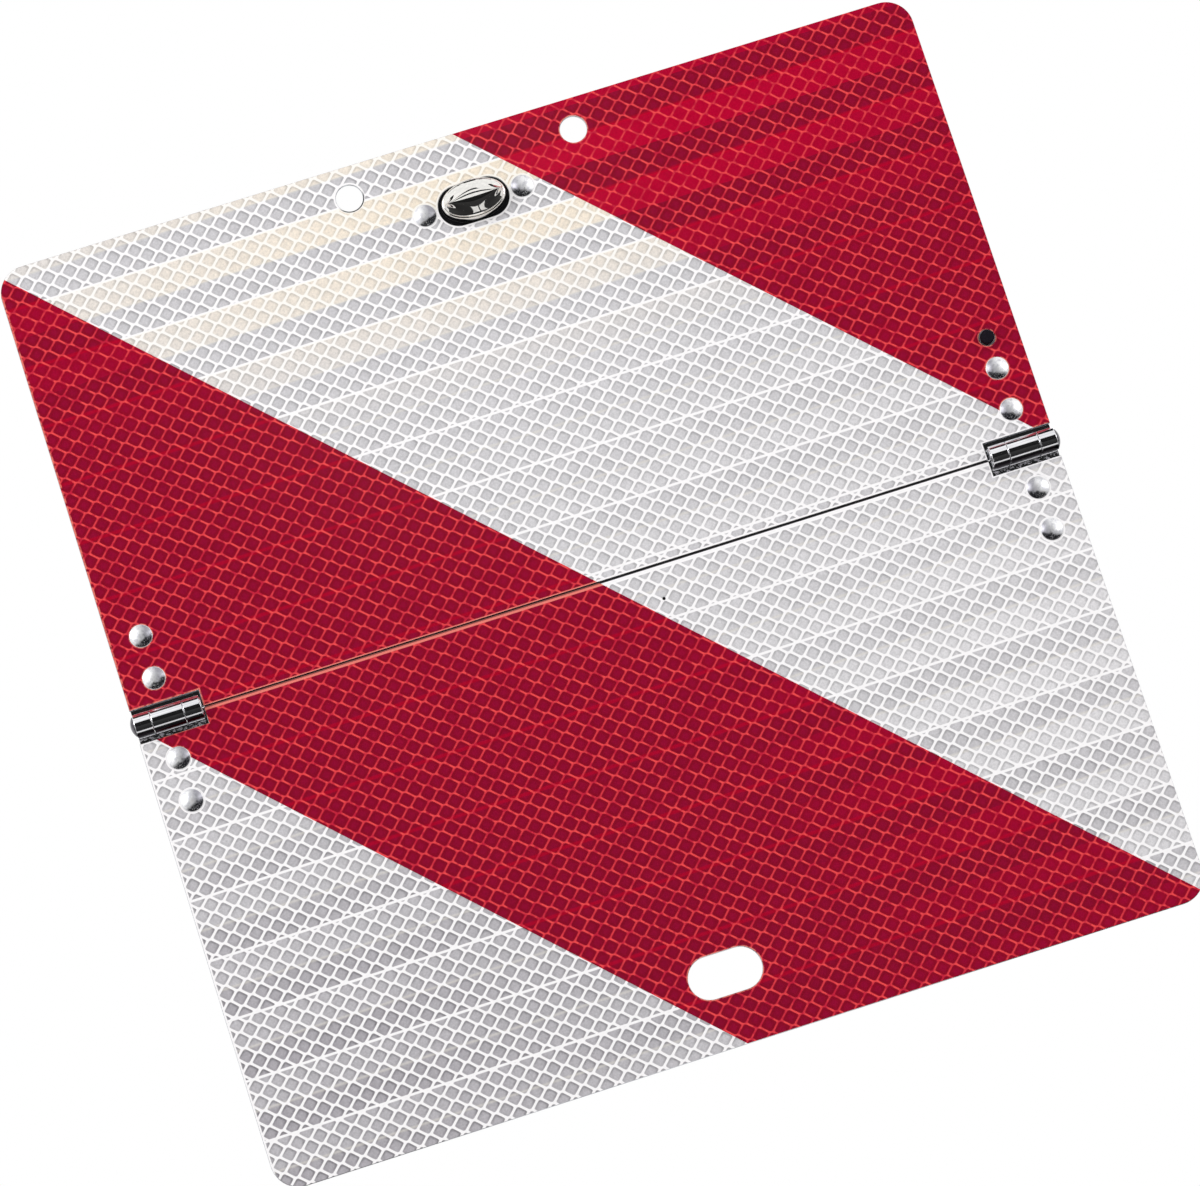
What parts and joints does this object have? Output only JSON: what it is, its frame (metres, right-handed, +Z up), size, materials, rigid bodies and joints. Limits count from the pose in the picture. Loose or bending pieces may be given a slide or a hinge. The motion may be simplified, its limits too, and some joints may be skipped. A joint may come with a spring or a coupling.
{
  "type": "folding parking warning sign",
  "caption": "Square red and white striped reflective sign in aluminium halves that fold face to face on hinges, with a turn latch, an oval latch slot and holes to hang it by.",
  "frame": {"origin": "midway between the two hanging holes, on the back face of the upper panel", "axes": "+Z up, +X to the right of a person who faces the striped front, +Y from the front to the back, along the hanging holes"},
  "size_m": [0.426, 0.015, 0.423],
  "materials": {
    "panel_metal": "mill finish",
    "white_sheeting": "glossy retroreflective sheeting with a honeycomb lattice",
    "red_film": "glossy clear red film over honeycomb sheeting",
    "hinge_steel": "polished",
    "rivet_metal": "bright",
    "latch_metal": "polished",
    "buffer_rubber": "matte"
  },
  "bodies": {
    "upper_half": {"upper_panel": "panel_metal", "upper_sheeting": "white_sheeting", "upper_corner_red_film": "red_film", "upper_band_red_film": "red_film", "left_hinge_upper_leaf": "hinge_steel", "left_hinge_pin": "hinge_steel", "left_hinge_upper_rivets": "rivet_metal", "right_hinge_upper_leaf": "hinge_steel", "right_hinge_pin": "hinge_steel", "right_hinge_upper_rivets": "rivet_metal", "latch_plate": "latch_metal", "latch_rivets": "rivet_metal", "latch_spring_washer": "hinge_steel", "rubber_buffer": "buffer_rubber"},
    "lower_half": {"lower_panel": "panel_metal", "lower_sheeting": "white_sheeting", "lower_band_red_film": "red_film", "left_hinge_lower_leaf": "hinge_steel", "left_hinge_lower_rivets": "rivet_metal", "right_hinge_lower_leaf": "hinge_steel", "right_hinge_lower_rivets": "rivet_metal"},
    "turn_button": {"latch_toggle": "latch_metal", "latch_spindle": "hinge_steel", "latch_retaining_washer": "hinge_steel"}
  },
  "joints": [
    {"name": "fold", "type": "hinge", "parent": "upper_half", "child": "lower_half", "pos_m": [0, -0.00385, -0.1973], "axis": [-1, 0, 0], "range_deg": [0, 180]},
    {"name": "latch_turn", "type": "hinge", "parent": "upper_half", "child": "turn_button", "pos_m": [0, -0.0081, -0.0178], "axis": [0, 1, 0], "range_deg": [0, 90]}
  ]
}
